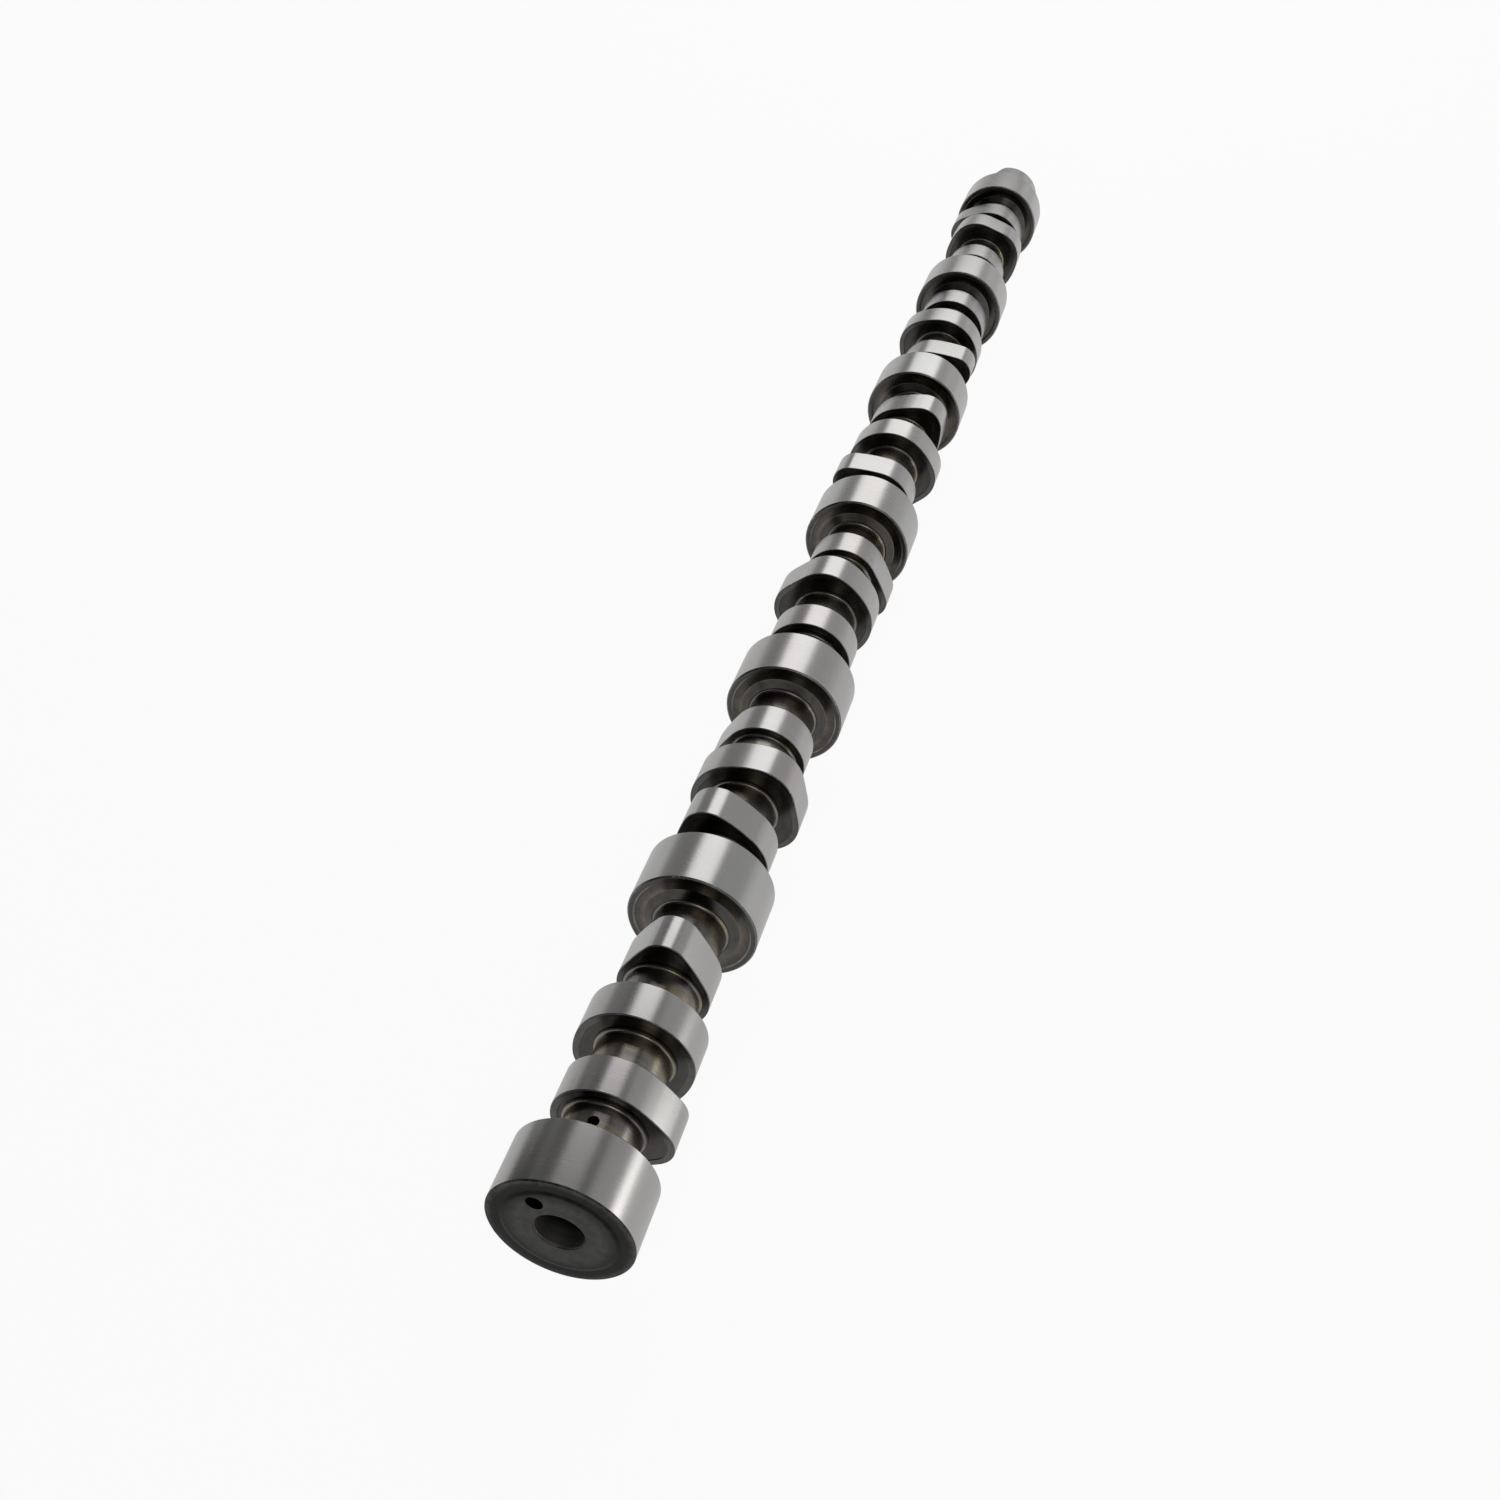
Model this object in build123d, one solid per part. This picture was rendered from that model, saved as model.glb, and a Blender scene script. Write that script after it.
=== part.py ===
"""Camshaft of an in-line six-cylinder heavy diesel engine: one forged, turned and ground piece.

Millimetres. The shaft lies along +X, from its drilled end face at the origin to its gear
nose; +Z is up. Angles about the shaft run clockwise seen from the drilled end, from +Z
towards -Y.
"""
import os
from math import acos, atan2, cos, pi, radians, sin, tan

from build123d import *

# Seven bearing journals, as the start and end of each along the shaft.
JOURNAL_R = 31.7
JOURNALS = ((0.0, 29.8), (167.6, 198.8), (327.7, 359.5), (493.6, 525.4),
            (659.5, 689.9), (818.2, 850.0), (982.6, 1013.4))
JOURNAL_CHAMFER = 0.7
BOSS_R = 22.8            # conical boss where a neck grows out of a journal's side face
BOSS_HEIGHT = 2.2

# The necks between journals and lobes, flared into every lobe face that they meet.
NECK_R = 17.4
FLARE_R = 19.3
FLARE_LENGTH = 2.2

# A lobe is the hull of its base circle and its nose circles: (angle, distance, radius).
OPEN_LOBE = ((0.0, 0.0, 24.0), (102.6, 17.0, 14.0))
CLOSE_LOBE = ((0.0, 0.0, 21.9), (3.8, 19.8, 11.4))
FUEL_LOBE = ((0.0, 0.0, 27.4), (160.6, 11.0, 19.6), (239.0, 11.0, 19.6))
LOBE_WIDTH = 19.2

# One bay per cylinder: its turn about the shaft and where its three lobes start.
# The second half of the shaft mirrors the first, so its outer lobes change places.
BAYS = ((0.0, (49.8, 88.0, 125.6)), (240.0, (212.5, 250.9, 288.8)),
        (120.0, (378.4, 417.9, 456.3)), (300.0, (544.9, 584.6, 622.7)),
        (60.0, (708.9, 747.7, 785.9)), (180.0, (872.6, 910.6, 947.8)))
FIRST_MIRRORED_BAY = 3

# The drilled end: axial bore, dowel hole, cross-drilled oil hole, recessed rim.
END_BORE_R = 10.6
END_BORE_DEPTH = 54.0
DOWEL_R = 3.7
DOWEL_DEPTH = 16.0
DOWEL_PCR = 18.4
DOWEL_ANGLE = -29.0
OIL_HOLE_R = 2.5
OIL_HOLE_X = 40.4
RIM_STEP_R = 24.6        # the middle of the end face stands this much proud of its rim
RIM_STEP = 0.5
DRILL_POINT = 59.0       # half angle of a drilled hole's end

# The gear nose, the flat at its end and its centre hole.
NOSE_R = 23.2
NOSE_END = 1047.0
NOSE_CHAMFER = 1.6
END_CHAMFER = 1.4        # on the last journal's edge at the gear's side
FLAT_ANGLE = -38.0
FLAT_DEPTH = 2.1
FLAT_LENGTH = 8.0        # along the shaft, up to the end of the nose
CENTRE_HOLE_R = 5.0


def around(x, angle, distance):
    """Point at a distance from the axis, at an angle about it."""
    a = radians(angle)
    return Vector(x, -distance * sin(a), distance * cos(a))


def cross_plane(x):
    """Plane across the shaft whose own angles are the angles about the shaft."""
    return Plane(origin=(x, 0, 0), x_dir=(0, 0, 1), z_dir=(1, 0, 0))


def hull_face(circles, turn):
    """Face bounded by the arcs and common tangents round circles in angular order."""
    count = len(circles)
    centres = [Vector(d * cos(radians(a + turn)), d * sin(radians(a + turn)))
               for a, d, r in circles]
    radii = [r for a, d, r in circles]
    normals = []
    for i in range(count):
        j = (i + 1) % count
        step = centres[j] - centres[i]
        normals.append(atan2(step.Y, step.X) - acos((radii[i] - radii[j]) / step.length))

    def on(i, normal):
        return centres[i] + Vector(cos(normal), sin(normal)) * radii[i]

    edges = []
    for i in range(count):
        j = (i + 1) % count
        start = normals[i - 1]
        end = normals[i]
        while end < start:
            end += 2 * pi
        while end > start + 2 * pi:
            end -= 2 * pi
        edges += [ThreePointArc(on(i, start), on(i, (start + end) / 2), on(i, end)),
                  Line(on(i, end), on(j, end))]
    return make_face(edges)


def lobe(circles, turn, start):
    """A ground lobe of constant section, turned to its place in the firing order."""
    return extrude(cross_plane(start) * hull_face(circles, turn), LOBE_WIDTH)


class Profile:
    """Half section of the turned shaft, drawn in x and radius."""

    def __init__(self, x, radius):
        self.at = (x, radius)
        self.edges = []

    def to(self, x, radius):
        self.edges.append(Line(self.point(*self.at), self.point(x, radius)))
        self.at = (x, radius)

    @staticmethod
    def point(x, radius):
        return (x, 0, radius)


def journal_near_side(profile, face):
    """From the neck up the boss and the side face to a journal's ground surface."""
    profile.to(face - BOSS_HEIGHT, NECK_R)
    profile.to(face, BOSS_R)
    profile.to(face, JOURNAL_R - JOURNAL_CHAMFER)
    profile.to(face + JOURNAL_CHAMFER, JOURNAL_R)


def journal_far_side(profile, face):
    """The mirror of the near side, down to the neck behind a journal."""
    profile.to(face - JOURNAL_CHAMFER, JOURNAL_R)
    profile.to(face, JOURNAL_R - JOURNAL_CHAMFER)
    profile.to(face, BOSS_R)
    profile.to(face + BOSS_HEIGHT, NECK_R)


def lobe_core(profile, start):
    """The shaft through a lobe, with the neck flared into both of its faces."""
    end = start + LOBE_WIDTH
    profile.to(start - FLARE_LENGTH, NECK_R)
    profile.to(start, FLARE_R)
    profile.to(end, FLARE_R)
    profile.to(end + FLARE_LENGTH, NECK_R)


def lobe_starts():
    """Every lobe's circles, turn and start, in order along the shaft."""
    rows = []
    for number, (turn, starts) in enumerate(BAYS):
        kinds = [OPEN_LOBE, FUEL_LOBE, CLOSE_LOBE]
        if number >= FIRST_MIRRORED_BAY:
            kinds.reverse()
        rows += [(kind, turn, start) for kind, start in zip(kinds, starts)]
    return rows


def turned_shaft():
    """The journals, necks, bosses, flares and nose as one body of revolution."""
    profile = Profile(0.0, 0.0)
    profile.to(0.0, RIM_STEP_R)
    profile.to(RIM_STEP, RIM_STEP_R + RIM_STEP)
    profile.to(RIM_STEP, JOURNAL_R - JOURNAL_CHAMFER)
    profile.to(RIM_STEP + JOURNAL_CHAMFER, JOURNAL_R)
    lobes = [start for kind, turn, start in lobe_starts()]
    for bay, (near, far) in enumerate(zip(JOURNALS, JOURNALS[1:])):
        journal_far_side(profile, near[1])
        for start in lobes[3 * bay:3 * bay + 3]:
            lobe_core(profile, start)
        journal_near_side(profile, far[0])
    end = JOURNALS[-1][1]
    profile.to(end - END_CHAMFER, JOURNAL_R)
    profile.to(end, JOURNAL_R - END_CHAMFER)
    profile.to(end, NOSE_R)
    profile.to(NOSE_END - NOSE_CHAMFER, NOSE_R)
    profile.to(NOSE_END, NOSE_R - NOSE_CHAMFER)
    profile.to(NOSE_END, 0.0)
    profile.to(0.0, 0.0)
    return revolve(make_face(profile.edges), Axis.X)


def drilled(angle, distance, radius, depth):
    """Axial drilling from the end face: wall and drill point."""
    point = radius / tan(radians(DRILL_POINT))
    outline = Polyline((-1, 0), (-1, radius), (depth, radius), (depth + point, 0), close=True)
    tool = revolve(make_face(outline), Axis.X)
    return Pos(around(0, angle, distance)) * tool


def nose_flat():
    """The block that mills the flat at the end of the nose."""
    block = Box(FLAT_LENGTH + 1, 2 * NOSE_R, 2 * FLAT_DEPTH,
                align=(Align.MIN, Align.CENTER, Align.MIN))
    return Rot(FLAT_ANGLE, 0, 0) * Pos(NOSE_END - FLAT_LENGTH, 0, NOSE_R - FLAT_DEPTH) * block


def centre_hole():
    """Sixty-degree lathe centre in the end of the nose."""
    outline = Polyline((NOSE_END + 1, 0), (NOSE_END + 1, CENTRE_HOLE_R), (NOSE_END, CENTRE_HOLE_R),
                       (NOSE_END - CENTRE_HOLE_R / tan(radians(30)), 0), close=True)
    return revolve(make_face(outline), Axis.X)


def camshaft():
    shaft = turned_shaft()
    shaft = shaft + [lobe(kind, turn, start) for kind, turn, start in lobe_starts()]
    oil_hole = Pos(OIL_HOLE_X, 0, 0) * Cylinder(OIL_HOLE_R, JOURNAL_R,
                                                align=(Align.CENTER, Align.CENTER, Align.MIN))
    return shaft - [drilled(0.0, 0.0, END_BORE_R, END_BORE_DEPTH),
                    drilled(DOWEL_ANGLE, DOWEL_PCR, DOWEL_R, DOWEL_DEPTH),
                    oil_hole, nose_flat(), centre_hole()]


os.makedirs("parts", exist_ok=True)
shaft = camshaft()
export_step(shaft, "parts/camshaft.step")
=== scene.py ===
from math import cos, hypot, pi, radians, sin, tan

import bpy
from bpy.props import FloatProperty, FloatVectorProperty, IntProperty, PointerProperty
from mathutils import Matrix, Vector


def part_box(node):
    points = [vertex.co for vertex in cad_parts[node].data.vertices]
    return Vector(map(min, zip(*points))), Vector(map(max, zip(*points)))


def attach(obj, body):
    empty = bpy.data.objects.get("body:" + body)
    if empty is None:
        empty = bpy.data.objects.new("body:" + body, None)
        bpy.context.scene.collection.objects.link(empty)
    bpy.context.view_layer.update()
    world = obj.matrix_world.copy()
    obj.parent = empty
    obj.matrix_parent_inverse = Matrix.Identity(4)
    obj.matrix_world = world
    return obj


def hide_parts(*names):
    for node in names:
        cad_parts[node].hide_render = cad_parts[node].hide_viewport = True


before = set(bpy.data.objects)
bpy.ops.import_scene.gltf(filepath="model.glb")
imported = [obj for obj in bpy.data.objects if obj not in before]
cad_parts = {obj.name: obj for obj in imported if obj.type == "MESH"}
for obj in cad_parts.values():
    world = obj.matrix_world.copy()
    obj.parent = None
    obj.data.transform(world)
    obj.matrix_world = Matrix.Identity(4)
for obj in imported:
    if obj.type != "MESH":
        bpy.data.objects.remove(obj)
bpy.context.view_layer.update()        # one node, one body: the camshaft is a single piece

bl_info = {
    "name": "Camshaft",
    "version": (1, 0, 0),
    "blender": (4, 5, 0),
    "location": "View3D > Sidebar > Camshaft",
    "description": "Models and finishes a ground in-line six camshaft round its packed frame",
    "category": "Object",
}

LOW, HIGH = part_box("camshaft")
MM = 0.001

# Journals, as the start and end of each along the shaft, in millimetres.
JOURNALS = ((0.0, 29.8), (167.6, 198.8), (327.7, 359.5), (493.6, 525.4),
            (659.5, 689.9), (818.2, 850.0), (982.6, 1013.4))

# A lobe is the hull of its base circle and its nose circles: (angle, distance, radius).
OPEN_LOBE = ((0.0, 0.0, 24.0), (102.6, 17.0, 14.0))
CLOSE_LOBE = ((0.0, 0.0, 21.9), (3.8, 19.8, 11.4))
FUEL_LOBE = ((0.0, 0.0, 27.4), (160.6, 11.0, 19.6), (239.0, 11.0, 19.6))

# One bay per cylinder: its turn about the shaft and where its three lobes start.
BAYS = ((0.0, (49.8, 88.0, 125.6)), (240.0, (212.5, 250.9, 288.8)),
        (120.0, (378.4, 417.9, 456.3)), (300.0, (544.9, 584.6, 622.7)),
        (60.0, (708.9, 747.7, 785.9)), (180.0, (872.6, 910.6, 947.8)))
FIRST_MIRRORED_BAY = 3

# A journal's side face, in metres: its boss, the dished ring round it, and its outer band.
BOSS_HEIGHT = 1.6 * MM
BOSS_SHOULDER = 1.65 * MM    # the shoulder's radius is this much over the neck's
BOSS_FOOT_R = 23.5 * MM
DISH_DEPTH = 0.5 * MM
DISH_R = 28.0 * MM
BAND_R = 28.9 * MM
JOURNAL_EDGE = 0.7 * MM

# A lobe's side face: the collar round the neck, and the face sunk inside its border.
COLLAR_HEIGHT = 0.3 * MM
CORE_SINK = 1.5 * MM         # how far the shaft's own collar reaches into the lobe
RECESS = 0.3 * MM
FLANK_STEPS = 7              # circles from a lobe's base to its nose

# The drilled end and its holes.
END_PROUD = 1.4 * MM         # how far it stands out of the frame's plane
END_BORE_DEPTH = 54.0 * MM
DRILL_POINT = 59.0           # half angle of a drilled hole's end
END_DISC_R = 23.6 * MM       # the middle stands proud of a rim that starts at END_RIM_R
END_RIM_R = 25.4 * MM
END_STEP = 0.5 * MM
END_CHAMFER = 0.6 * MM
DOWEL_ANGLE = -29.0
DOWEL_PCR = 18.4 * MM
DOWEL_R = 3.7 * MM
DOWEL_DEPTH = 16.0 * MM
OIL_HOLE_X = 40.4 * MM
OIL_HOLE_R = 2.5 * MM
DRILL_START = 25.0 * MM      # above the neck, where the oil hole's drill starts
BORE_MEET = 5.0 * MM         # inside the end bore, where the oil hole's wall ends
DRILL_LEAD = 3.0 * MM        # ahead of the end face, where the dowel hole's drill starts

# The gear nose.
LAST_CHAMFER = 1.4 * MM      # on the last journal's edge beside it
NOSE_CHAMFER = 1.6 * MM
CENTRE_HOLE_R = 5.0 * MM
FLAT_ANGLE = -38.0
FLAT_DEPTH = 2.1 * MM
FLAT_LENGTH = 8.0 * MM

# The camera's place, where it looks, and its lens.
CAMERA_PLACE = (-0.3338, -0.1745, 0.5671)
CAMERA_AHEAD = (0.72599, 0.21170, -0.65430)
LENS = 40.0
WALL_HEIGHT = 1.6            # of the white wall round the floor, in metres


# ---------------------------------------------------------------- settings

class ShaftSizes(bpy.types.PropertyGroup):
    """Turned sizes of the shaft, in metres."""
    journal: FloatProperty(name="Journal radius", description="Radius of the bearing journals",
                           default=HIGH.z, unit="LENGTH")
    neck: FloatProperty(name="Neck radius", description="Radius of the shaft between the lobes",
                        default=0.0174, unit="LENGTH")
    hollow: FloatProperty(name="Hollow", description="Radius of the fillet where a neck ends",
                          default=0.0013, unit="LENGTH")
    collar: FloatProperty(name="Collar radius", description="Radius of the collar on a lobe's face",
                          default=0.0193, unit="LENGTH")
    nose: FloatProperty(name="Nose radius", description="Radius of the gear nose",
                        default=0.0232, unit="LENGTH")
    end: FloatProperty(name="Nose end", description="Where the gear nose ends along the shaft",
                       default=HIGH.x, unit="LENGTH")
    bore: FloatProperty(name="End bore radius", description="Radius of the bore in the drilled end",
                        default=0.0106, unit="LENGTH")
    steps: IntProperty(name="Steps", description="Segments round the turned shaft",
                       default=96, min=36, max=144)


class LobeSizes(bpy.types.PropertyGroup):
    """Sizes that all eighteen lobes share, in metres."""
    width: FloatProperty(name="Lobe width", description="Width of every lobe along the shaft",
                         default=0.0192, unit="LENGTH")
    edge: FloatProperty(name="Broken edge", description="Rounding of a lobe's ground edges",
                        default=0.00055, unit="LENGTH")
    crown: FloatProperty(name="Crown", description="How far a lobe's flanks bulge",
                         default=0.0004, unit="LENGTH")
    border: FloatProperty(name="Border", description="Width of the band round a lobe's side faces",
                          default=0.0026, unit="LENGTH")
    steps: IntProperty(name="Steps", description="Segments round each circle of a lobe",
                       default=108, min=36, max=144)


class FinishColours(bpy.types.PropertyGroup):
    """Colours of the shaft's finishes."""
    ground: FloatVectorProperty(name="Ground steel", description="Journals, lobes and nose",
                                subtype="COLOR", default=(0.455, 0.448, 0.442), min=0, max=1)
    face: FloatVectorProperty(name="Side face", description="Oiled sides of lobes and journals",
                              subtype="COLOR", default=(0.088, 0.085, 0.080), min=0, max=1)
    warm: FloatVectorProperty(name="Heat tint", description="Brown tint round the bosses",
                              subtype="COLOR", default=(0.23, 0.187, 0.150), min=0, max=1)
    neck: FloatVectorProperty(name="Neck", description="Dark, polished necks",
                              subtype="COLOR", default=(0.27, 0.258, 0.240), min=0, max=1)
    end: FloatVectorProperty(name="End face", description="Charcoal disc of the drilled end",
                             subtype="COLOR", default=(0.047, 0.047, 0.0445), min=0, max=1)


class StageLevels(bpy.types.PropertyGroup):
    """Floor and light of the stage."""
    floor: FloatProperty(name="Floor size", description="Side of the square floor",
                         default=12.0, unit="LENGTH")
    white: FloatProperty(name="Floor white", description="Share of plain white in the floor",
                         default=0.94, min=0, max=1, subtype="FACTOR")
    mirrored: FloatProperty(name="Mirrored white", description="Part of it seen in the metal",
                            default=0.61, min=0, max=1, subtype="FACTOR")
    room: FloatProperty(name="Room light", description="Grey level of the room round the stage",
                        default=0.11, min=0, max=1, subtype="FACTOR")


# ---------------------------------------------------------------- modelling helpers

def deselect_all():
    if bpy.context.object and bpy.context.object.mode == "EDIT":
        bpy.ops.object.mode_set(mode="OBJECT")
    bpy.ops.object.select_all(action="DESELECT")


def activate(piece):
    deselect_all()
    piece.select_set(True)
    bpy.context.view_layer.objects.active = piece


def place_in_mesh(piece):
    """Moves the object's place into its mesh, so that the object sits at the origin."""
    activate(piece)
    bpy.ops.object.transform_apply(location=True, rotation=True, scale=True)


def around(x, angle, distance):
    """Point at a distance from the axis; angles run clockwise seen from the drilled end."""
    a = radians(angle)
    return Vector((x, -distance * sin(a), distance * cos(a)))


def rounded(corners):
    """Half section through corners (x, radius, rounding), with an arc at each rounded one."""
    points = [corners[0][:2]]
    for before, (x, r, rounding), after in zip(corners, corners[1:], corners[2:]):
        here = Vector((x, r))
        back = (Vector(before[:2]) - here).normalized()
        ahead = (Vector(after[:2]) - here).normalized()
        turn = back.angle(ahead)
        if rounding == 0 or turn > radians(178):
            points.append((x, r))
            continue
        cut = rounding / tan(turn / 2)
        centre = here + (back + ahead).normalized() * rounding / sin(turn / 2)
        first = here + back * cut - centre
        sweep = first.angle_signed(here + ahead * cut - centre)
        pieces = max(2, round(abs(sweep) / radians(18))) if rounding > 0.5 * MM else 2
        for i in range(pieces + 1):
            a = -sweep * i / pieces
            spoke = (first.x * cos(a) - first.y * sin(a), first.x * sin(a) + first.y * cos(a))
            points.append(tuple(centre + Vector(spoke)))
    points.append(corners[-1][:2])
    return points


def spin_profile(name, points, steps):
    """A closed body of revolution about the X axis, spun from a line of (x, radius) points."""
    deselect_all()
    bpy.ops.mesh.primitive_plane_add(size=MM, location=(points[0][0], 0, points[0][1]))
    piece = bpy.context.object
    piece.name = name
    place_in_mesh(piece)
    bpy.ops.object.mode_set(mode="EDIT")
    bpy.ops.mesh.select_mode(type="VERT")
    bpy.ops.mesh.select_all(action="SELECT")
    bpy.ops.mesh.merge(type="CENTER")
    at = points[0]
    for x, r in points[1:]:
        step = {"value": (x - at[0], 0, r - at[1])}
        bpy.ops.mesh.extrude_region_move(TRANSFORM_OT_translate=step)
        at = (x, r)
    bpy.ops.mesh.select_all(action="SELECT")
    bpy.ops.mesh.spin(steps=steps, angle=2 * pi, center=(0, 0, 0), axis=(1, 0, 0))
    bpy.ops.mesh.select_all(action="SELECT")
    bpy.ops.mesh.remove_doubles(threshold=1e-6)
    bpy.ops.mesh.normals_make_consistent(inside=False)
    bpy.ops.object.mode_set(mode="OBJECT")
    return piece


def combine(piece, tool, operation):
    """Adds or cuts with another closed mesh, which is then deleted."""
    activate(piece)
    bpy.ops.object.modifier_add(type="BOOLEAN")
    modifier = piece.modifiers[-1]
    modifier.operation = operation
    modifier.solver = "EXACT"
    modifier.object = tool
    bpy.ops.object.modifier_apply(modifier=modifier.name)
    bpy.data.objects.remove(tool)


# ---------------------------------------------------------------- the turned shaft

def journal_near_side(face, sizes):
    """Corners from the neck up the boss, over the side face, to the ground journal."""
    return [(face - BOSS_HEIGHT, sizes.neck, 1.5 * MM),
            (face - BOSS_HEIGHT, sizes.neck + BOSS_SHOULDER, 0.12 * MM),
            (face + DISH_DEPTH, BOSS_FOOT_R, 0.5 * MM),
            (face + DISH_DEPTH, DISH_R, 0.1 * MM),
            (face, BAND_R, 0.1 * MM),
            (face, sizes.journal - 0.8 * MM, 0.15 * MM),
            (face + JOURNAL_EDGE, sizes.journal, 0.3 * MM)]


def journal_far_side(face, sizes):
    """The mirror of the near side."""
    near = journal_near_side(0.0, sizes)
    return [(face - x, r, rounding) for x, r, rounding in reversed(near)]


def lobe_core(start, sizes, width):
    """Corners through a lobe: a thin collar stands round the neck on both of its faces."""
    near, far = start + CORE_SINK, start + width - CORE_SINK
    out, back = start - COLLAR_HEIGHT, start + width + COLLAR_HEIGHT
    return [(out, sizes.neck, sizes.hollow), (out, sizes.collar, 0.12 * MM),
            (near, sizes.collar, 0), (near, sizes.collar - MM, 0),
            (far, sizes.collar - MM, 0), (far, sizes.collar, 0),
            (back, sizes.collar, 0.12 * MM), (back, sizes.neck, sizes.hollow)]


def shaft_corners(sizes, width):
    """The whole half section, from the bottom of the end bore to the nose's lathe centre."""
    rim = END_STEP - END_PROUD
    corners = [(END_BORE_DEPTH + sizes.bore / tan(radians(DRILL_POINT)), 0, 0),
               (END_BORE_DEPTH, sizes.bore, 0),
               (END_CHAMFER - END_PROUD, sizes.bore, 0.15 * MM),
               (-END_PROUD, sizes.bore + END_CHAMFER, 0.1 * MM),
               (-END_PROUD, END_DISC_R, 0.8 * MM),
               (rim, END_RIM_R, 0.8 * MM),
               (rim, sizes.journal - END_CHAMFER, 0.15 * MM),
               (rim + END_CHAMFER, sizes.journal, 0.3 * MM)]
    for bay, (near, far) in enumerate(zip(JOURNALS, JOURNALS[1:])):
        corners += journal_far_side(near[1] * MM, sizes)
        for start in BAYS[bay][1]:
            corners += lobe_core(start * MM, sizes, width)
        corners += journal_near_side(far[0] * MM, sizes)
    last = JOURNALS[-1][1] * MM
    corners += [(last - LAST_CHAMFER, sizes.journal, 0.4 * MM),
                (last, sizes.journal - LAST_CHAMFER, 0.3 * MM),
                (last, sizes.nose, 0.8 * MM),
                (sizes.end - NOSE_CHAMFER, sizes.nose, 0.4 * MM),
                (sizes.end, sizes.nose - NOSE_CHAMFER, 0.3 * MM),
                (sizes.end, CENTRE_HOLE_R, 0.2 * MM),
                (sizes.end - CENTRE_HOLE_R / tan(radians(30)), 0, 0)]
    return corners


class CAMSHAFT_OT_shaft(bpy.types.Operator):
    """Spin the journals, necks, bosses, collars, end bore and gear nose as one body"""
    bl_idname = "camshaft.shaft"
    bl_label = "Turned Shaft"

    def execute(self, context):
        sizes = context.scene.camshaft_sizes
        corners = shaft_corners(sizes, context.scene.camshaft_lobes.width)
        spin_profile("ground_camshaft", rounded(corners), sizes.steps)
        return {"FINISHED"}


# ---------------------------------------------------------------- the lobes

def with_crowned_flanks(circles, lobes):
    """The circles, with more between the base and each nose that crown the flanks lightly."""
    base = circles[0]
    rows = [base]
    for angle, distance, radius in circles[1:]:
        for step in range(1, FLANK_STEPS):
            t = step / FLANK_STEPS
            crown = 4 * t * (1 - t) * lobes.crown / MM
            rows.append((angle, distance * t, base[2] + (radius - base[2]) * t + crown))
        rows.append((angle, distance, radius))
    return rows


def hull_lobe(circles, turn, start, lobes):
    """A lobe as the hull of its circles drawn out to discs, its two outlines lightly rounded."""
    middle = start * MM + lobes.width / 2
    deselect_all()
    for number, (angle, distance, radius) in enumerate(with_crowned_flanks(circles, lobes)):
        place = around(middle, angle + turn, distance * MM)
        bpy.ops.mesh.primitive_cylinder_add(vertices=lobes.steps, radius=radius * MM,
                                            depth=lobes.width, location=place,
                                            rotation=(0, pi / 2, 0))
        if number == 0:
            piece = bpy.context.object
            place_in_mesh(piece)
            bpy.ops.object.mode_set(mode="EDIT")
    bpy.ops.mesh.select_all(action="SELECT")
    bpy.ops.mesh.convex_hull(join_triangles=False)
    bpy.ops.mesh.select_all(action="SELECT")
    bpy.ops.mesh.dissolve_limited(angle_limit=radians(0.4))
    bpy.ops.mesh.select_mode(type="EDGE")
    bpy.ops.mesh.select_all(action="DESELECT")
    bpy.ops.mesh.edges_select_sharp(sharpness=radians(60))
    bpy.ops.mesh.bevel(offset=lobes.edge, segments=3, affect="EDGES")
    bpy.ops.mesh.select_all(action="SELECT")
    bpy.ops.mesh.normals_make_consistent(inside=False)
    bpy.ops.mesh.select_mode(type="FACE")
    bpy.ops.object.mode_set(mode="OBJECT")
    for face in piece.data.polygons:
        face.select = abs(face.normal.x) > 0.99
    bpy.ops.object.mode_set(mode="EDIT")
    bpy.ops.mesh.inset(thickness=lobes.border, depth=0)
    bpy.ops.mesh.inset(thickness=0.3 * MM, depth=-RECESS)
    bpy.ops.object.mode_set(mode="OBJECT")
    return piece


def lobe_rows():
    """Every lobe's circles, turn and start, in order along the shaft."""
    rows = []
    for number, (turn, starts) in enumerate(BAYS):
        kinds = [OPEN_LOBE, FUEL_LOBE, CLOSE_LOBE]
        if number >= FIRST_MIRRORED_BAY:
            kinds.reverse()
        rows += [(kind, turn, start) for kind, start in zip(kinds, starts)]
    return rows


class CAMSHAFT_OT_lobes(bpy.types.Operator):
    """Grow the eighteen lobes and join them to the shaft"""
    bl_idname = "camshaft.lobes"
    bl_label = "Lobes"

    def execute(self, context):
        lobes = [hull_lobe(*row, context.scene.camshaft_lobes) for row in lobe_rows()]
        deselect_all()
        for lobe in lobes:
            lobe.select_set(True)
        context.view_layer.objects.active = lobes[0]
        bpy.ops.object.join()
        combine(bpy.data.objects["ground_camshaft"], lobes[0], "UNION")
        return {"FINISHED"}


# ---------------------------------------------------------------- drillings and flat

def drill(place, direction, radius, depth, steps=48):
    """A drill's swept shape: a cylinder whose far end runs to a point."""
    point = radius / tan(radians(DRILL_POINT))
    outline = ((0, 0), (0, radius), (depth, radius), (depth + point, 0))
    tool = spin_profile("drill", outline, steps)
    tool.rotation_euler = direction.to_track_quat("X", "Y").to_euler()
    tool.location = place
    place_in_mesh(tool)
    return tool


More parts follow.
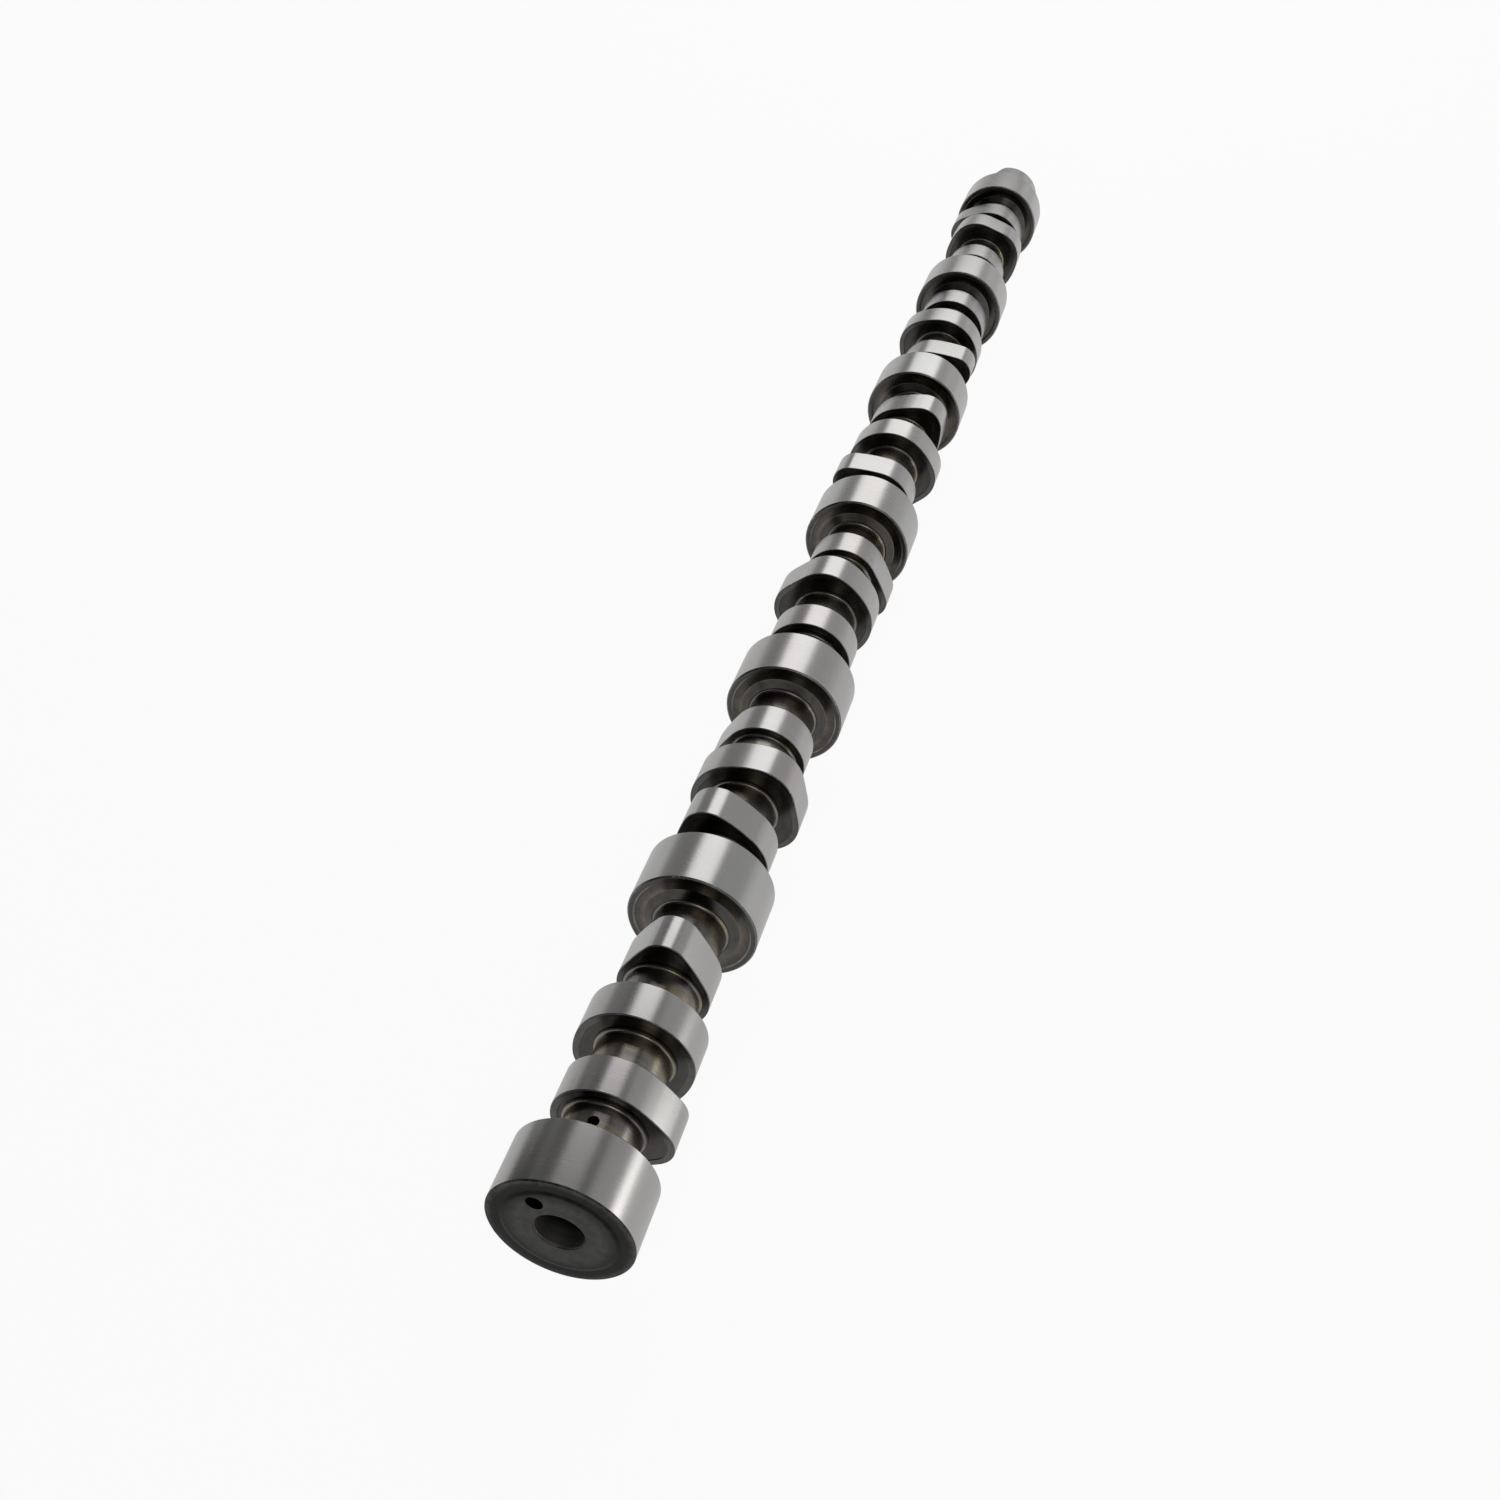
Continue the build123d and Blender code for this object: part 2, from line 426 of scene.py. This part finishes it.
def flat_cutter(sizes):
    """The block that mills the flat at the end of the nose."""
    deselect_all()
    bpy.ops.mesh.primitive_cube_add(size=1.0)
    tool = bpy.context.object
    tool.dimensions = (2 * FLAT_LENGTH, 2 * sizes.nose, 2 * FLAT_DEPTH)
    tool.rotation_euler = (radians(FLAT_ANGLE), 0, 0)
    tool.location = around(sizes.end, FLAT_ANGLE, sizes.nose)
    place_in_mesh(tool)
    return tool


class CAMSHAFT_OT_drillings(bpy.types.Operator):
    """Cut the dowel hole, the cross-drilled oil hole and the flat on the nose"""
    bl_idname = "camshaft.drillings"
    bl_label = "Drillings and Flat"

    def execute(self, context):
        sizes = context.scene.camshaft_sizes
        shaft = bpy.data.objects["ground_camshaft"]
        along = Vector((1, 0, 0))
        place = around(-DRILL_LEAD, DOWEL_ANGLE, DOWEL_PCR)
        dowel = drill(place, along, DOWEL_R, DRILL_LEAD + DOWEL_DEPTH)
        combine(shaft, dowel, "DIFFERENCE")
        down = Vector((0, 0, -1))
        oil = drill(Vector((OIL_HOLE_X, 0, DRILL_START)), down, OIL_HOLE_R, DRILL_START - BORE_MEET)
        combine(shaft, oil, "DIFFERENCE")
        combine(shaft, flat_cutter(sizes), "DIFFERENCE")
        return {"FINISHED"}


# ---------------------------------------------------------------- finishes

class Nodes:
    """Short way to add and link shader nodes."""

    def __init__(self, name):
        self.material = bpy.data.materials.new(name)
        self.material.use_nodes = True
        self.tree = self.material.node_tree
        self.tree.nodes.clear()
        self.output = self.add("ShaderNodeOutputMaterial")

    def add(self, kind, **values):
        node = self.tree.nodes.new(kind)
        for key, value in values.items():
            if hasattr(node, key):
                setattr(node, key, value)
            else:
                node.inputs[key.replace("_", " ")].default_value = value
        return node

    def link(self, out, into):
        self.tree.links.new(out, into)

    def math(self, operation, first, second=0.0):
        node = self.add("ShaderNodeMath", operation=operation)
        for socket, value in zip(node.inputs, (first, second)):
            if isinstance(value, (int, float)):
                socket.default_value = value
            else:
                self.link(value, socket)
        return node.outputs[0]

    def mix(self, factor, first, second):
        """Colour between two colours or sockets."""
        node = self.add("ShaderNodeMix", data_type="RGBA")
        for socket, value in ((node.inputs[0], factor), (node.inputs[6], first),
                              (node.inputs[7], second)):
            if isinstance(value, bpy.types.NodeSocket):
                self.link(value, socket)
            elif isinstance(value, (int, float)):
                socket.default_value = value
            else:
                socket.default_value = (*value, 1.0)
        return node.outputs[2]

    def ramp(self, value, stops):
        """Greys or colours along a value between 0 and 1."""
        node = self.add("ShaderNodeValToRGB")
        ramp = node.color_ramp
        while len(ramp.elements) < len(stops):
            ramp.elements.new(0.5)
        for element, (place, colour) in zip(ramp.elements, stops):
            element.position = place
            element.color = (*colour, 1.0) if isinstance(colour, tuple) else (colour,) * 3 + (1.0,)
        self.link(value, node.inputs[0])
        return node.outputs[0]

    def place(self, scale=(1, 1, 1)):
        """Object coordinates, stretched along the axes."""
        where = self.add("ShaderNodeTexCoord")
        mapping = self.add("ShaderNodeMapping", Scale=scale)
        self.link(where.outputs["Object"], mapping.inputs["Vector"])
        return mapping.outputs[0]

    def radius(self):
        """Distance from the shaft's axis, in metres."""
        node = self.add("ShaderNodeVectorMath", operation="LENGTH")
        self.link(self.place((0, 1, 1)), node.inputs[0])
        return node.outputs["Value"]

    def along(self):
        """Distance from the drilled end's plane, in metres."""
        node = self.add("ShaderNodeVectorMath", operation="LENGTH")
        self.link(self.place((1, 0, 0)), node.inputs[0])
        return node.outputs["Value"]

    def noise(self, scale, detail=2.0, stretch=(1, 1, 1), roughness=0.5):
        node = self.add("ShaderNodeTexNoise", Scale=scale, Detail=detail, Roughness=roughness)
        self.link(self.place(stretch), node.inputs["Vector"])
        return node.outputs["Fac"]

    def finish(self, colour, roughness, height=None, strength=0.1, **values):
        """A metal surface on the given colour, roughness and height."""
        shader = self.add("ShaderNodeBsdfPrincipled", Metallic=1.0, **values)
        self.link(colour, shader.inputs["Base Color"])
        self.link(roughness, shader.inputs["Roughness"])
        if height is not None:
            bump = self.add("ShaderNodeBump", Strength=strength, Distance=0.0002)
            self.link(height, bump.inputs["Height"])
            self.link(bump.outputs[0], shader.inputs["Normal"])
        self.link(shader.outputs[0], self.output.inputs["Surface"])
        return self.material


def ground_steel(colours):
    """Journals, lobes and nose: ground round the shaft, with fine lines side by side."""
    nodes = Nodes("ground_steel")
    lines = nodes.noise(1.0, 2.0, (1900, 9, 9), 0.5)
    light = tuple(c * 1.03 for c in colours.ground)
    dark = tuple(c * 0.97 for c in colours.ground)
    colour = nodes.mix(nodes.ramp(lines, ((0.35, 0.0), (0.65, 1.0))), dark, light)
    cloud = nodes.noise(26.0, 3.0)
    rose = tuple(c * tint for c, tint in zip(colours.ground, (1.03, 0.95, 0.95)))
    colour = nodes.mix(nodes.ramp(cloud, ((0.42, 0.0), (0.62, 0.45))), colour, rose)
    film = nodes.noise(17.0, 2.0, (1, 1.6, 1.6))
    sage = tuple(c * tint for c, tint in zip(colours.ground, (0.95, 1.0, 0.96)))
    colour = nodes.mix(nodes.ramp(film, ((0.50, 0.0), (0.66, 0.5))), colour, sage)
    roughness = nodes.math("ADD", nodes.math("MULTIPLY", lines, 0.015),
                           nodes.math("MULTIPLY", cloud, 0.08))
    roughness = nodes.math("ADD", roughness, 0.22)
    return nodes.finish(colour, roughness, lines, 0.004)


def broken_edge(colours):
    """Rounded edges of lobes and journals: rubbed bright, with small nicks and dark specks."""
    nodes = Nodes("broken_edge")
    nicks = nodes.noise(420.0, 4.0, (1, 1, 1), 0.7)
    worn = tuple(c * 0.42 for c in colours.ground)
    colour = nodes.mix(nodes.ramp(nicks, ((0.36, 0.8), (0.42, 0.0))), worn, (0.07, 0.065, 0.06))
    bright = tuple(min(1.0, c * 1.4) for c in colours.ground)
    colour = nodes.mix(nodes.ramp(nicks, ((0.62, 0.0), (0.68, 1.0))), colour, bright)
    roughness = nodes.math("ADD", nodes.math("MULTIPLY", nicks, 0.3), 0.22)
    return nodes.finish(colour, roughness, nicks, 0.3)


def side_face(colours, name="oiled_side_face", light=1.0, heat=1.0):
    """Turned side faces: dark and oily, browned by heat round a journal's boss."""
    nodes = Nodes(name)
    turning = nodes.add("ShaderNodeTexNoise", noise_dimensions="1D", Scale=1900.0, Detail=2.0)
    radius = nodes.radius()
    nodes.link(radius, turning.inputs["W"])
    rings = turning.outputs["Fac"]
    smear = nodes.noise(70.0, 4.0, (1, 1, 1), 0.6)
    reach = nodes.math("DIVIDE", radius, HIGH.z)
    warmth = nodes.ramp(reach, ((0.72, 0.10), (0.745, 0.95), (0.80, 0.45), (0.88, 0.0),
                                (0.93, 0.12)))
    warmth = nodes.math("MULTIPLY", warmth, nodes.ramp(smear, ((0.32, 0.25), (0.66, 1.0))))
    warmth = nodes.math("MULTIPLY", warmth, heat)
    colour = nodes.mix(warmth, tuple(c * light for c in colours.face), tuple(colours.warm))
    stain = nodes.ramp(nodes.noise(150.0, 5.0, (1, 1, 1), 0.7), ((0.50, 0.0), (0.70, 0.45)))
    colour = nodes.mix(stain, colour, (0.030, 0.028, 0.026))
    groove = nodes.ramp(rings, ((0.35, 0.30), (0.6, 0.0)))
    colour = nodes.mix(groove, colour, (0.035, 0.033, 0.030))
    roughness = nodes.math("MULTIPLY", smear, 0.14)
    roughness = nodes.math("ADD", roughness, 0.14)
    return nodes.finish(colour, roughness, rings, 0.08)


def lobe_side(colours):
    """A lobe's side faces: the same oily finish without the heat tint."""
    return side_face(colours, "oiled_lobe_side", 0.9, 0.1)


def lobe_border(colours):
    """The band round a lobe's side faces: rubbed lighter."""
    return side_face(colours, "rubbed_lobe_border", 1.5, 0.1)


def neck_metal(colours):
    """Necks: dark and polished, with straw, violet and green temper tints along the shaft."""
    nodes = Nodes("tempered_neck")
    bands = nodes.noise(1.0, 3.0, (70, 22, 22), 0.6)
    straw = tuple(c * tint for c, tint in zip(colours.neck, (1.30, 1.15, 0.85)))
    violet = tuple(c * tint for c, tint in zip(colours.neck, (0.92, 0.78, 0.84)))
    green = tuple(c * tint for c, tint in zip(colours.neck, (0.76, 0.84, 0.76)))
    tint = nodes.ramp(bands, ((0.30, green), (0.42, tuple(colours.neck)), (0.50, straw),
                              (0.58, tuple(colours.neck)), (0.68, violet)))
    lines = nodes.noise(1.0, 2.0, (1500, 30, 30))
    soot = nodes.noise(55.0, 4.0, (1, 1, 1), 0.65)
    colour = nodes.mix(nodes.ramp(soot, ((0.45, 0.0), (0.68, 0.6))), tint, (0.075, 0.065, 0.058))
    colour = nodes.mix(nodes.ramp(lines, ((0.3, 0.25), (0.6, 0.0))), colour, (0.08, 0.07, 0.06))
    roughness = nodes.math("ADD", nodes.math("MULTIPLY", lines, 0.08),
                           nodes.math("MULTIPLY", soot, 0.12))
    roughness = nodes.math("ADD", roughness, 0.17)
    return nodes.finish(colour, roughness, lines, 0.06)


def end_face(colours):
    """Drilled end: charcoal oxide, darker on the rim, with rubbed smudges."""
    nodes = Nodes("charcoal_end_face")
    reach = nodes.math("DIVIDE", nodes.radius(), HIGH.z)
    smudge = nodes.noise(210.0, 6.0, (1, 1, 1), 0.7)
    rubbed = nodes.ramp(reach, ((0.38, 0.35), (0.60, 0.35), (0.70, 0.15), (0.79, 0.05), (0.9, 0.08),
                                (0.98, 0.6)))
    pale = nodes.math("MULTIPLY", nodes.ramp(smudge, ((0.40, 0.0), (0.60, 0.9))), rubbed)
    rim = nodes.ramp(reach, ((0.56, 0.0), (0.70, 0.55), (0.77, 1.0), (0.90, 0.9), (0.97, 0.4)))
    colour = nodes.mix(rim, tuple(colours.end), tuple(c * 0.15 for c in colours.end))
    colour = nodes.mix(pale, colour, (0.16, 0.150, 0.135))
    roughness = nodes.math("MULTIPLY", smudge, 0.2)
    roughness = nodes.math("ADD", roughness, 0.38)
    return nodes.finish(colour, roughness, smudge, 0.12)


def bore_wall(colours):
    """Inside of the drillings: dull, with painted shade that turns the wall near black beyond the
    mouth and over the dowel hole.
    """
    nodes = Nodes("dull_bore_painted_shade")
    rings = nodes.noise(1.0, 2.0, (900, 60, 60))
    wall = nodes.mix(rings, (0.22, 0.215, 0.20), (0.50, 0.49, 0.46))
    # painted shade: the bore's wall darkens to near black from about 3 to 12 mm in from the drilled
    # end
    inside = nodes.math("DIVIDE", nodes.along(), 40 * MM)
    wall = nodes.mix(nodes.ramp(inside, ((0.08, 0.0), (0.30, 1.0))), wall, (0.03, 0.029, 0.027))
    # painted shade: drillings lying farther from the axis, that is the dowel hole, go near black
    painted_hole_shade = nodes.ramp(nodes.math("DIVIDE", nodes.radius(), HIGH.z), ((0.35, 0.0), (0.42, 1.0)))
    colour = nodes.mix(painted_hole_shade, wall, (0.018, 0.017, 0.016))
    roughness = nodes.math("MULTIPLY", rings, 0.2)
    roughness = nodes.math("ADD", roughness, 0.4)
    return nodes.finish(colour, roughness, rings, 0.2)


GROUND, EDGE, FACE, LOBE_SIDE, BORDER, NECK, END, BORE = range(8)


def finish_of(face, radius, sizes, sides):
    """Which finish a face takes, from where it lies, its outermost radius and its turn to X."""
    x = face.center.x
    facing = face.normal.x
    bore_lip = sizes.bore + 0.1 * MM
    last = JOURNALS[-1][1] * MM
    depth = min(abs(x - side) for side in sides)
    inward = face.normal.yz.dot(face.center.yz) < 0
    upright = abs(facing) > 0.88
    if x < 1.3 * MM and facing < -0.45 and radius > bore_lip:
        return END
    if x < 62 * MM and radius < bore_lip:
        return BORE
    if 0.1 * MM < x < 19 * MM and radius < sizes.journal - 3 * MM:   # the dowel hole
        return BORE
    if x < last and radius < sizes.collar + 0.1 * MM:
        return NECK if radius < sizes.neck + sizes.hollow + 0.05 * MM else LOBE_SIDE
    if x > last and abs(facing) < 0.5 and hypot(*face.center.yz) < sizes.nose - 1.5 * MM:
        return FACE                                                   # the nose's flat
    if upright and depth < 0.5 * MM:
        return BORDER if depth < 0.02 * MM else LOBE_SIDE
    if upright:
        return FACE
    if inward and x < last:
        return LOBE_SIDE if depth < RECESS else NECK
    if abs(facing) > 0.15 and 5 * MM < x < last:
        return EDGE
    return GROUND


class CAMSHAFT_OT_finish(bpy.types.Operator):
    """Give every face of the shaft its finish and put the piece in the frame"""
    bl_idname = "camshaft.finish"
    bl_label = "Finish"

    def execute(self, context):
        sizes = context.scene.camshaft_sizes
        colours = context.scene.camshaft_finish
        shaft = bpy.data.objects["ground_camshaft"]
        shaft.data.materials.clear()
        for make in (ground_steel, broken_edge, side_face, lobe_side, lobe_border, neck_metal,
                     end_face, bore_wall):
            shaft.data.materials.append(make(colours))
        width = context.scene.camshaft_lobes.width
        starts = [start * MM for kind, turn, start in lobe_rows()]
        sides = starts + [start + width for start in starts]
        points = shaft.data.vertices
        for face in shaft.data.polygons:
            radius = max(hypot(*points[number].co.yz) for number in face.vertices)
            face.material_index = finish_of(face, radius, sizes, sides)
        activate(shaft)
        bpy.ops.object.shade_smooth_by_angle(angle=radians(32))
        bpy.ops.object.modifier_add(type="WEIGHTED_NORMAL")
        shaft.modifiers[-1].keep_sharp = True
        bpy.ops.object.modifier_apply(modifier=shaft.modifiers[-1].name)
        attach(shaft, "root")
        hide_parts("camshaft")
        return {"FINISHED"}


# ---------------------------------------------------------------- stage

def floor_material(levels):
    """White floor: plain white as seen and mirrored, lit and shadowed for the rest."""
    nodes = Nodes("pale_floor")
    grain = nodes.noise(3.0, 2.0)
    lit = nodes.add("ShaderNodeBsdfDiffuse")
    nodes.link(nodes.mix(grain, (0.90, 0.90, 0.90), (0.93, 0.93, 0.93)), lit.inputs["Color"])
    plain = nodes.add("ShaderNodeEmission", Strength=1.0)
    path = nodes.add("ShaderNodeLightPath")
    mirrored = nodes.math("MULTIPLY", path.outputs["Is Glossy Ray"], levels.mirrored)
    seen = nodes.math("MAXIMUM", path.outputs["Is Camera Ray"], mirrored)
    seen = nodes.math("MAXIMUM", seen, path.outputs["Is Transmission Ray"])
    blend = nodes.add("ShaderNodeMixShader")
    nodes.link(nodes.math("MULTIPLY", seen, levels.white), blend.inputs[0])
    nodes.link(lit.outputs[0], blend.inputs[1])
    nodes.link(plain.outputs[0], blend.inputs[2])
    nodes.link(blend.outputs[0], nodes.output.inputs["Surface"])
    return nodes.material


def studio_room(levels):
    """Dim grey room all round the floor, which the camera sees as white."""
    world = bpy.data.worlds.new("studio")
    world.use_nodes = True
    tree = world.node_tree
    path = tree.nodes.new("ShaderNodeLightPath")
    shade = tree.nodes.new("ShaderNodeMapRange")
    shade.inputs["To Min"].default_value = levels.room
    tree.links.new(path.outputs["Is Camera Ray"], shade.inputs["Value"])
    tree.links.new(shade.outputs["Result"], tree.nodes["Background"].inputs["Color"])
    return world


def floor_and_wall(levels):
    """Floor whose border turns up into a low wall all round."""
    deselect_all()
    bpy.ops.mesh.primitive_plane_add(size=levels.floor, location=(0.5, 0, LOW.z))
    floor = bpy.context.object
    floor.name = "floor"
    place_in_mesh(floor)
    bpy.ops.object.mode_set(mode="EDIT")
    bpy.ops.mesh.select_mode(type="EDGE")
    bpy.ops.mesh.select_all(action="SELECT")
    bpy.ops.mesh.region_to_loop()
    bpy.ops.mesh.extrude_edges_move(TRANSFORM_OT_translate={"value": (0, 0, WALL_HEIGHT)})
    bpy.ops.object.mode_set(mode="OBJECT")
    floor.data.materials.append(floor_material(levels))


def soft_lamp(name, place, target, size, level):
    """Rectangular lamp of a given brightness per area, aimed at a point."""
    deselect_all()
    bpy.ops.object.light_add(type="AREA", location=place)
    lamp = bpy.context.object
    lamp.name = name
    lamp.data.shape = "RECTANGLE"
    lamp.data.size, lamp.data.size_y = size
    lamp.data.energy = level * pi * size[0] * size[1]
    lamp.rotation_euler = (Vector(target) - Vector(place)).to_track_quat("-Z", "Y").to_euler()
    lamp.visible_camera = False
    return lamp


def dark_flag(place, size):
    """Upright dark card beside the drilled end, seen only as a dark band in the metal."""
    nodes = Nodes("flag_cloth")
    cloth = nodes.add("ShaderNodeBsdfDiffuse")
    nodes.link(nodes.mix(nodes.noise(60.0), (0.030, 0.030, 0.030), (0.045, 0.045, 0.045)),
               cloth.inputs["Color"])
    nodes.link(cloth.outputs[0], nodes.output.inputs["Surface"])
    deselect_all()
    bpy.ops.mesh.primitive_plane_add(size=1.0, location=place, rotation=(pi / 2, 0, 0))
    flag = bpy.context.object
    flag.name = "dark_flag"
    flag.scale = (size[0], size[1], 1)
    place_in_mesh(flag)
    flag.data.materials.append(nodes.material)
    flag.visible_camera = False


class CAMSHAFT_OT_stage(bpy.types.Operator):
    """Lay the floor, hang the lamps and set up the camera"""
    bl_idname = "camshaft.stage"
    bl_label = "Stage"

    def execute(self, context):
        levels = context.scene.camshaft_stage
        floor_and_wall(levels)
        context.scene.world = studio_room(levels)
        soft_lamp("overhead_box", (1.68, 0.085, 1.06), (1.19, 0.085, 0.18), (1.0, 1.5), 1.63)
        soft_lamp("side_strip", (0.51, -1.0, 0.13), (0.1, 0, 0), (0.36, 0.28), 2.4)
        soft_lamp("left_panel", (2.33, 1.7, 0.95), (0.45, 0, 0.05), (1.7, 1.9), 0.17)
        dark_flag((-0.025, 0.6, 0.36), (0.85, 0.78))
        soft_lamp("side_panel", (2.6, -1.5, 1.4), (2.0, 0, 0.3), (4.0, 1.8), 0.36)
        soft_lamp("front_box", (-1.4, -0.8, 2.0), (0.3, 0, 0), (1.5, 1.5), 1.1)
        data = bpy.data.cameras.new("camera")
        data.sensor_width = 36.0
        data.lens = LENS
        camera = bpy.data.objects.new("camera", data)
        context.scene.collection.objects.link(camera)
        camera.location = CAMERA_PLACE
        camera.rotation_euler = Vector(CAMERA_AHEAD).to_track_quat("-Z", "Y").to_euler()
        context.scene.camera = camera
        context.scene.view_settings.view_transform = "Standard"
        return {"FINISHED"}


# ---------------------------------------------------------------- panel and registration

class CAMSHAFT_PT_panel(bpy.types.Panel):
    """Lists the camshaft's settings and its steps in order"""
    bl_idname = "CAMSHAFT_PT_panel"
    bl_label = "Camshaft"
    bl_space_type = "VIEW_3D"
    bl_region_type = "UI"
    bl_category = "Camshaft"

    def draw(self, context):
        layout = self.layout
        for group in ("camshaft_sizes", "camshaft_lobes", "camshaft_finish", "camshaft_stage"):
            settings = getattr(context.scene, group)
            box = layout.box()
            for name in settings.__annotations__:
                box.prop(settings, name)
        for step in STEPS:
            layout.operator(step.bl_idname)


STEPS = (CAMSHAFT_OT_shaft, CAMSHAFT_OT_lobes, CAMSHAFT_OT_drillings, CAMSHAFT_OT_finish,
         CAMSHAFT_OT_stage)
SETTINGS = {"camshaft_sizes": ShaftSizes, "camshaft_lobes": LobeSizes,
            "camshaft_finish": FinishColours, "camshaft_stage": StageLevels}


def register():
    for kind in (*SETTINGS.values(), *STEPS, CAMSHAFT_PT_panel):
        bpy.utils.register_class(kind)
    for name, kind in SETTINGS.items():
        setattr(bpy.types.Scene, name, PointerProperty(type=kind))


def unregister():
    for name in SETTINGS:
        delattr(bpy.types.Scene, name)
    for kind in (CAMSHAFT_PT_panel, *reversed(STEPS), *reversed(list(SETTINGS.values()))):
        bpy.utils.unregister_class(kind)


def main():
    register()
    bpy.ops.camshaft.shaft()
    bpy.ops.camshaft.lobes()
    bpy.ops.camshaft.drillings()
    bpy.ops.camshaft.finish()
    bpy.ops.camshaft.stage()


if __name__ == "__main__":
    main()
